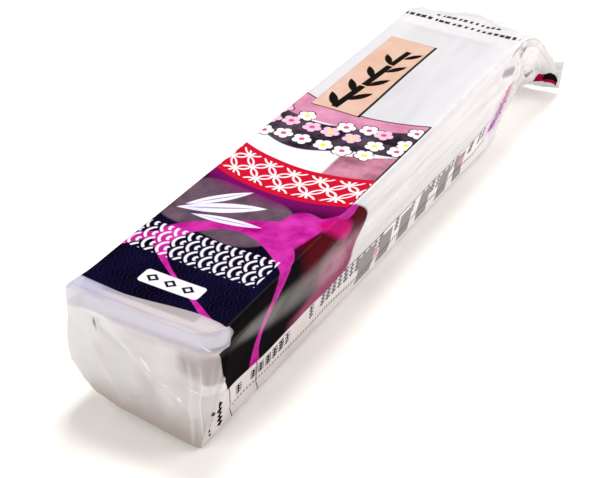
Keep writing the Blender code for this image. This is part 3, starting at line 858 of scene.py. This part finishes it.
def blossom_picture(film):
    """Blossoms on a dusky swathe over a pale ground, with a pink drape and a rosy corner."""
    across, bowed, glow = film.across, film.bowed, film.glow
    slanted = add("Math MULTIPLY_ADD", (across, SLANT, bowed))
    corner = both(between(across, -26.0, -7.0, 1.0), above(103.0, slanted, 0.6))
    swathe = wave(across, 0.16, 0.0, 2.0, slanted)
    dusk = over("#231a26", add("MapRange", (glow, 0.2, 0.8)), "#544553")
    ground = laid(
        over("#e4e0e6", glow, "#f4f2f5"),
        (corner, over("#8e5566", glow, "#d08ea6")),
        (between(swathe, 104.5, 123.5, 0.6), dusk),
        (above(slanted, 122.5, 0.6), over("#d594b0", glow, "#b96f8f")),
    )
    ground = blossoms(film.where, 7.6, ground, 102.5, 124.0)
    return over(ground, between(bowed, 132.1, 133.2), "#5b2a45")


def ringed_band(film):
    """A red band with white interlaced rings."""
    middle = add("Math SUBTRACT", (film.bowed, 82.0))
    rings = ring_lattice(add("CombineXYZ", (middle, film.across, 0.0)), 4.6, 0.75)
    return over("#c21330", both(rings, between(film.bowed, 75.0, 89.0)), "#ece4e6")


def leafy_plaque(film, shown):
    """A peach plaque with a black edge and a leafy branch. Gives the film with it, and the plaque's mask."""
    where, black = film.where, "#16120f"
    plaque = panel(where, (162.8, 9.8), (31.0, 9.0))
    shown = over(shown, panel(where, (162.6, 9.3), (31.3, 9.5)), "#14100f")
    shown = over(shown, plaque, over("#d0a790", film.glow, "#d6b8aa"))
    for place, half in (((143, 10.2), (9.5, 1.3)), ((162.2, 8.8), (9.0, 1.25)), ((178.5, 7.6), (6.6, 1.1))):
        shown = over(shown, panel(where, place, half, 0.3, 4), black)
    for k in range(8):
        out = 1 - 2 * (k % 2)
        place = (138.5 + 6.2 * k, 10.4 - 0.45 * k + out * 3.3)
        half = (5.6 - 0.2 * k, 1.6 - 0.05 * k)
        shown = over(shown, leaf(where, place, half, -33 * out), black)
    return shown, plaque


def dash_rows(film):
    """Mask of two rows of small dashes, of chance lengths, past the mold's end."""
    rows = []
    for row, step, low, high in ((215.4, 2.5, -24.2, 24.0), (220.8, 2.3, -13.8, 12.7)):
        chance, in_cell = cells(film.across, step)
        dash = above(add("Math MULTIPLY_ADD", (chance, 0.5 * step, 0.4 * step)), in_cell)
        rows.append(both(dash, between(film.along, row - 1.1, row + 1.1), between(film.across, low, high)))
    return either(*rows)


def hatched_marks(run, side):
    """Mask of a row of hatched marks: each has cross lines of a chance thickness and an upright."""
    step = 4.1
    tally = add("CombineXYZ", (add("Math MULTIPLY", (run, 1 / step)), 0.0, 0.0))
    chance = add("TexWhiteNoise", (add("VectorMath FLOOR", (tally,)),), noise_dimensions="3D")
    in_mark = add("Math WRAP", (run, step, 0.0))
    thick = add("Math MULTIPLY_ADD", (chance, 0.7, 0.55))
    line = add("Math LESS_THAN", (add("Math WRAP", (side, 1.6, 0.0)), thick))
    return both(
        either(line, between(in_mark, 1.4, 2.3)),
        between(in_mark, 0.3, 3.6),
        between(side, 53.0, 59.0),
        add("Math GREATER_THAN", (chance, 0.2)),
        between(run, 10.5, 200),
    )


def side_strip(film):
    """The pale strip along the foot of each side, with hatched marks, swatches, dots and thin rules.

    Its marks lean near the near end: run is along, moved by the way down times a lean that fades out.
    Gives its mask and its colour.
    """
    along, side = film.along, film.side
    top = add("MapRange", (along, 6.0, 70.0, 49.5, 53.0))
    strip = both(above(side, top), between(side, 40, 68), between(along, -0.5, 204))
    paper = over("#d8cfce", film.glow, "#e4dddd")
    paper = over(paper, add("MapRange", (along, 60.0, 110.0)), "#f1eced")
    lean = add("MapRange", (along, 30.0, 90.0, -0.42, 0.0))
    down = add("Math SUBTRACT", (side, 49.5))
    run = add("Math MULTIPLY_ADD", (lean, down, along))

    # Grey swatches of chance lengths, in about two cells out of three
    chance, in_cell = cells(run, 15.5)
    swatch = both(
        above(add("Math MULTIPLY_ADD", (chance, 7.0, 5.0)), in_cell),
        between(side, 55.0, 66.5),
        between(along, 88, 200),
        add("Math GREATER_THAN", (chance, 0.35)),
    )

    # Hatched marks beside the swatches, fainter further along, and a row of small dashes below them
    hatch = without(hatched_marks(run, side), either(between(run, 45.5, 58.0), swatch))
    fainter = add("MapRange", (run, 35.0, 90.0))
    small = add("Math WRAP", (run, 1.7, 0.0))
    small = both(between(small, 0.2, 1.2), between(side, 61.6, 63.0), between(run, 10.5, 200))
    paper = laid(
        paper,
        (swatch, "#9b9697"),
        (hatch, over("#37313a", fainter, "#7a747a")),
        (add("Math MULTIPLY", (small, 0.7)), "#5f595e"),
    )

    # Five lozenges and five dashes by the near end, then pink dots far apart, and thin rules
    leaning = add("CombineXYZ", (run, side, 0.0))
    for k in range(5):
        lozenge = panel(leaning, (3.0, 52.2 + 3.1 * k), (1.25, 1.25), 0.2, 45)
        dash = panel(leaning, (-2.6, 55.0 + 2.6 * k), (0.5, 0.85), 0.2)
        paper = laid(paper, (lozenge, "#17131a"), (dash, "#4a4449"))
    dots = add("CombineXYZ", (add("Math WRAP", (run, 69.8, 0.0)), side, 0.0))
    dots = panel(dots, (36.4, 59.5), (1.7, 1.9), 1.6, 0, 1.2)
    below_top = add("Math SUBTRACT", (side, top))
    paper = laid(
        paper,
        (both(dots, between(run, 60, 204)), "#dd9bb9"),
        (both(between(below_top, -1.0, 0.5), between(along, 82, 204)), "#6f696d"),
        (between(run, 9.0, 9.5), "#4d484d"),
        (between(run, 24.0, 24.5), "#4d484d"),
    )
    return strip, paper


def stray_ink_and_shade(film, shown):
    """Past the mold's end: a magenta streak down the fold and a dark printed patch by the seal, with grey
    and dark crinkle lines as painted shade.

    A pocket behind the film under the lip is a painted shade in grey. Gives the film with them, the masks of
    the thin ones and the patch's mask.
    """
    where, along, across = film.where, film.along, film.across
    ragged = add("TexNoise", {"Vector": where, "Scale": 0.45, "Detail": 3.0, "Roughness": 0.7})
    ragged = add("Math MULTIPLY_ADD", (ragged, 11.0, -5.0))
    line = add("Math MULTIPLY_ADD", (across, -0.34, -226.7))
    line = add("Math ADD", (along, line))
    tinge = both(between(line, -9.0, 4.5, 3.0), between(across, -61, -43, 5.0))
    streak = add("Math ADD", (line, ragged))
    streak = both(between(streak, -4.6, 0.8, 0.9), between(across, -60, -41, 2.0))
    low_down = add("MapRange", (across, -42.0, -54.0))
    # Painted shade: a grey pocket behind the film under the lip
    pocket_shade = panel(where, (205.4, -34.0), (6.4, 1.7), 1.6, 15, 1.4)
    # Painted shade of crinkles: grey lines, then dark lines
    grey_crinkle_shade = leaves(
        where,
        ((212.5, -27.6), (6.5, 0.8), -8),
        ((223.0, -33.5), (5.5, 0.8), 28),
        ((216.0, -37.0), (4.0, 0.6), 50),
    )
    dark_crinkle_shade = leaves(
        where,
        ((238.9, -49.1), (7.6, 1.4), 18),
        ((244.0, -52.7), (3.0, 1.3), -29),
        ((243.0, -48.4), (2.6, 1.0), -20),
    )
    patch = panel(where, (271.0, -39.6), (12.2, 5.0), 0.3, -59.5)
    shown = laid(
        shown,
        (tinge, "#dcc8e4"),
        (streak, over("#c4506e", low_down, "#9a3f96")),
        # Painted shade: the pocket and the crinkle lines
        (pocket_shade, "#8f8799"),
        (grey_crinkle_shade, "#aaa5ae"),
        (dark_crinkle_shade, "#443845"),
        (patch, over("#8e0630", film.glow, "#b00d45")),
        (panel(where, (271.4, -35.4), (8.6, 3.1), 0.3, -59.5), "#08060a"),
    )
    return shown, (streak, tinge, dark_crinkle_shade, grey_crinkle_shade, pocket_shade), patch


def bare_cover(film, slit, past_edge):
    """How far unprinted film hides what is behind it.

    Soft clouds past the clear band, thinner down the sides and past the mold, and ribs across the seal,
    which begins at the slit.
    """
    cloud = add("VectorMath MULTIPLY", (film.where, (0.03, 0.16, 0)))
    cloud = add("TexNoise", {"Vector": cloud, "Scale": 1.0, "Detail": 3.0, "Roughness": 0.5})
    cloud = add("MapRange", (cloud, 0.3, 0.7, 0.93, 1.07))
    on_top = add("MapRange", (film.side, 23.5, 27.0, 0.92, 0.72), **EASED)
    on_mold = add("MapRange", (film.along, 203.0, 214.0, 1.0, 0.72), **EASED)
    sealed = add("MapRange", (film.along, slit + 0.5, slit + 2.5, 0.0, 0.38))
    ribs = wave(film.along, 2 * np.pi / RIB_PITCH, 0.0, 0.35, 0.75)
    return either(both(cloud, past_edge, on_top, on_mold), both(sealed, ribs))


def loose_gloss(film):
    """How much more the film mirrors in a band under the right lip, where it stands loose.

    The band widens away from the near end: its strength falls with the distance from its middle line.
    """
    along = film.along
    middle = add("MapRange", (along, 6.0, 58.0, -33.0, -41.5))
    half = add("MapRange", (along, 6.0, 66.0, 2.4, 9.0))
    off = add("Math DIVIDE", (apart(film.across, middle), half))
    loose = add("MapRange", (off, 1.15, 0.2, 0.0, 0.17), **EASED)
    return both(loose, add("MapRange", (along, 90.0, 70.0)), add("MapRange", (along, 6.0, 20.0, 0.1, 0.9)))


def printed_film(slit):
    """Clear polypropylene film, printed in flat inks and heat-sealed.

    It gives the eye bright, even colours under a sharp gloss, a milky far half that lets a little light
    through, and clear film by the near end, where the white mold shows through its crumples.
    """
    made, tree = node_material("glossy_printed_clear_film")
    film = film_places(tree)
    near_tone, near_haze = near_end_film(film)
    tone, glints = near_face_marks(film, over(milky_film(film), film.near_end, near_tone))
    past_edge, dark = ink_edges(film)
    picture = both(film.top, between(film.bowed, *BLOSSOM_PICTURE))
    black_edge = both(between(film.across, -25.2, -24.2), between(film.bowed, 72.3, BLOSSOM_PICTURE[1]))
    band = both(between(film.bowed, *RED_BAND), film.top)
    shown = laid(
        tone,
        (dark, waves_and_badge(film, dark_field(film))),
        (picture, blossom_picture(film)),
        (black_edge, "#120b12"),
        (band, ringed_band(film)),
    )
    shown, plaque = leafy_plaque(film, shown)
    dashes = dash_rows(film)
    strip, paper = side_strip(film)
    shown = laid(shown, (dashes, "#26232c"), (strip, paper))
    shown, ink_and_shade_marks, patch = stray_ink_and_shade(film, shown)

    # How much it covers: all where inked, most in the milky part, and by the near end as much as its haze
    inked = either(dark, strip, band, picture, plaque, patch)
    near_haze = both(either(near_haze, glints), film.near_end)
    cover = either(bare_cover(film, slit, past_edge), near_haze, inked, dashes, *ink_and_shade_marks)

    # Painted highlights lie white along the folds where the film has no ink. Light comes through the film,
    # least through ink
    crease_highlight = without(add("Attribute", output=2, tree=tree, attribute_name="crease_highlight"), inked)
    shown = over(shown, crease_highlight, "#fbfafb")
    cover = either(cover, add("Math MULTIPLY", (crease_highlight, 0.75)))
    crinkle = add("TexNoise", {"Vector": film.spot, "Scale": 190.0, "Detail": 4.0, "Distortion": 0.9})
    bump = add("Bump", {"Height": crinkle, "Distance": 0.0005, "Strength": 0.35})
    ink = add("BsdfDiffuse", {"Color": shown, "Normal": bump})
    glow_through = add("BsdfTranslucent", {"Color": shown, "Normal": bump})
    ink = add("MixShader", (add("MapRange", (inked, 0.0, 1.0, 0.25, 0.04)), ink, glow_through))

    # Clear film hides more at a glancing angle
    glance = add("LayerWeight", {"Blend": 0.5}, output=1, tree=tree)
    glance = add("Math POWER", (glance, 4.0))
    cover = add("Math MULTIPLY_ADD", (glance, 0.45, cover), use_clamp=True)
    clear = add("BsdfTransparent", {"Color": (0.97, 0.965, 0.975, 1)}, tree=tree)
    body = add("MixShader", (cover, clear, ink))

    # The gloss: the bare film mirrors more than the inked, and both most at a glancing angle
    steep = add("LayerWeight", {"Blend": 0.5, "Normal": bump}, output=1)
    steep = add("Math POWER", (steep, 5.0))
    base = add("MapRange", (inked, 0.0, 1.0, 0.05, 0.003))
    rise = add("MapRange", (inked, 0.0, 1.0, 0.7, 0.03))
    mirror = add("Math MULTIPLY_ADD", (steep, rise, base))
    mirror = add("Math ADD", (mirror, loose_gloss(film)))
    gloss = add("BsdfGlossy", {"Color": (1, 1, 1, 1), "Roughness": 0.12, "Normal": bump})
    add("OutputMaterial", {"Surface": add("MixShader", (mirror, body, gloss))})
    return made


def white_plastic(name, colour, roughness):
    """Moulded polypropylene: a soft gloss, light that sinks in a little, a faint mottle from its flow."""
    made, tree = node_material(name)
    mottle = add("TexCoord", output=3, tree=tree)
    mottle = add("TexNoise", {"Vector": mottle, "Scale": 90.0, "Detail": 3.0})
    settings = {
        "Base Color": over(colour, add("MapRange", (mottle, 0.3, 0.7)), "#e9e7f2"),
        "Roughness": roughness,
        "IOR": 1.49,
        "Subsurface Weight": 0.2,
        "Subsurface Radius": (0.004, 0.004, 0.004),
        "Subsurface Scale": 1.0,
        "Normal": add("Bump", {"Height": mottle, "Distance": 0.00003, "Strength": 0.4}),
    }
    add("OutputMaterial", {"Surface": add("BsdfPrincipled", settings)})
    return made


def crimped_film(name, cover):
    """Clear polypropylene film heat-sealed to itself: milky where it was pressed, and glossy all over."""
    made, tree = node_material(name)
    where = add("UVMap", tree=tree, uv_map="flat_film_mm")
    cloud = add("TexNoise", {"Vector": where, "Scale": 0.4, "Detail": 4.0})
    milk = add("MapRange", (cloud, 0.3, 0.7, cover - 0.1, cover + 0.1))
    ink = add("BsdfDiffuse", {"Color": srgb("#f1eff3")}, tree=tree)
    body = add("MixShader", (milk, add("BsdfTransparent", tree=tree), ink))
    steep = add("LayerWeight", {"Blend": 0.5}, output=1, tree=tree)
    steep = add("Math POWER", (steep, 5.0))
    mirror = add("Math MULTIPLY_ADD", (steep, 0.8, 0.06))
    gloss = add("BsdfGlossy", {"Color": (1, 1, 1, 1), "Roughness": 0.12}, tree=tree)
    add("OutputMaterial", {"Surface": add("MixShader", (mirror, body, gloss))})
    return made


def white_card():
    """Matt white card, a shade warm. A faint glow to the camera alone keeps it white in the picture."""
    made, tree = node_material("white_card")
    grain = add("TexCoord", output=3, tree=tree)
    grain = add("TexNoise", {"Vector": grain, "Scale": 40.0, "Detail": 2.0})
    card = add("BsdfDiffuse", {"Color": over("#fdf9f4", grain, "#fbf7f1")})
    to_camera = add("Math MULTIPLY", (add("LightPath", tree=tree), 0.08))
    glow = add("Emission", {"Color": (1, 1, 1, 1), "Strength": to_camera})
    add("OutputMaterial", {"Surface": add("AddShader", (card, glow))})
    return made


def ribbed_strip(name, low, high, along_x, pitch):
    """A thin flat strip of pressed film between two corners, its ribs set across its length.

    Its middle height is a sine of the given pitch, flat at the edges, and its section is a rounded bar.
    """
    half_thick, middle_z, rib = 0.11, 0.22, 0.07
    (x0, y0), (x1, y1) = low, high
    length, width = (x1 - x0, y1 - y0) if along_x else (y1 - y0, x1 - x0)
    run = np.linspace(0, length, int(length / pitch * 8) + 1)
    turn = np.linspace(0, 2 * np.pi, 40, endpoint=False)
    across = width / 2 * np.sign(np.cos(turn)) * np.abs(np.cos(turn)) ** 0.5
    thick = half_thick * np.sign(np.sin(turn)) * np.abs(np.sin(turn)) ** 0.5
    a = np.repeat(run[:, None], len(turn), 1)
    b = np.repeat(across[None], len(run), 0)
    up = middle_z + rib * np.sin(2 * np.pi * a / pitch) * (1 - np.abs(b / width * 2) ** 8) + thick[None]
    x, y = (x0 + a, y0 + width / 2 + b) if along_x else (x0 + width / 2 - b, y0 + a)
    return closed_skin(name, np.stack([x, y, up], axis=2), np.stack([a, b], axis=2), pole=False)


def dress_mold():
    """The film with its seam and seals, and the plastic of the two moulded pieces."""
    points, flat, cap_rows, seal_rows = film_grid()
    points, white = crumple(points, flat, cap_rows, seal_rows)
    points, white, flat = points[:, ::-1], white[:, ::-1], flat[:, ::-1]
    film = closed_skin("film_wrap_skin", points, flat)
    # The painted highlights along the folds, kept on the points for the film's colour
    crease_highlight = film.data.attributes.new("crease_highlight", "FLOAT", "POINT")
    crease_highlight.data.foreach_set("value", np.append(white.ravel(), 0.0).astype(np.float32))
    film.data.materials.append(printed_film(flat[seal_rows - 1].max(axis=0)[0]))
    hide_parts("film_wrap", "film_far_end", "far_end_seal")
    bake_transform(film)

    seam = ribbed_strip("back_seam_film", (-86.9, -2.0), (155.6, 8.0), True, 2.4)
    seam.data.materials.append(crimped_film("milky_seam_film", 0.45))
    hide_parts("back_seam")
    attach(seam, "mold")
    near_seal = ribbed_strip("near_end_seal_film", (-100.5, -16.5), (-87.3, 16.5), False, 1.6)
    near_seal.data.materials.append(crimped_film("milky_crimped_film", 0.55))
    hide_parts("near_end_seal")
    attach(near_seal, "mold")

    for node, name, colour, roughness in (
        ("mold_base", "white_polypropylene", "#f4f2f8", 0.36),
        ("press_bar", "white_polypropylene_bar", "#f2f1f8", 0.42),
    ):
        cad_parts[node].material_slots[0].material = white_plastic(name, colour, roughness)


def put_in_scene(name, data):
    """A new object that holds this data, linked into the scene."""
    made = bpy.data.objects.new(name, data)
    bpy.context.scene.collection.objects.link(made)
    return made


def aim_axes(direction):
    """Right, up and back unit vectors of a lamp that shines along a direction."""
    back = -direction / np.linalg.norm(direction)
    right = np.cross((0, 0, 1.0), back)
    right = right / np.linalg.norm(right)
    return right, np.cross(back, right), back


def photo_studio():
    """A white floor, soft even light all round, three square softboxes, and the photograph's camera."""
    floor_mesh = bpy.data.meshes.new("floor")
    floor_mesh.from_pydata([(-4, -4, 0), (4, -4, 0), (4, 4, 0), (-4, 4, 0)], [], [(0, 1, 2, 3)])
    floor_mesh.materials.append(white_card())
    floor = put_in_scene("floor", floor_mesh)

    scene = bpy.context.scene
    scene.world = bpy.data.worlds.new("studio")
    scene.world.use_nodes = True
    background = scene.world.node_tree.nodes["Background"]
    background.inputs["Color"].default_value = (0.92, 0.9, 0.875, 1)
    background.inputs["Strength"].default_value = 0.36

    aimed_at = np.array((0, 0, 0.02))
    for name, place, size, power in (
        ("softbox_above", (0.36, 0.16, 1.18), 0.4, 10.6),
        ("softbox_right_back", (0.75, -0.85, 0.62), 0.8, 9.6),
        ("softbox_near", (-0.95, 0.30, 0.70), 0.7, 5.0),
    ):
        lamp = bpy.data.lights.new(name, "AREA")
        lamp.shape, lamp.size, lamp.energy = "SQUARE", size, power
        axes = np.column_stack(aim_axes(aimed_at - np.array(place)))
        put_in_scene(name, lamp).matrix_world = Matrix.Translation(place) @ Matrix(axes.tolist()).to_4x4()

    # The camera, solved from the edges of the mold in the photograph
    camera = bpy.data.cameras.new("camera")
    camera.sensor_width, camera.lens = 36.0, 91.14
    axes = Matrix([(0.4924, -0.8702, 0.0211), (0.4688, 0.2855, 0.8359), (-0.7333, -0.4016, 0.5485)])
    scene.camera = put_in_scene("camera", camera)
    scene.camera.matrix_world = Matrix.Translation((-0.3837, -0.2025, 0.2919)) @ axes.transposed().to_4x4()
    scene.view_settings.view_transform = "Standard"


dress_mold()
photo_studio()
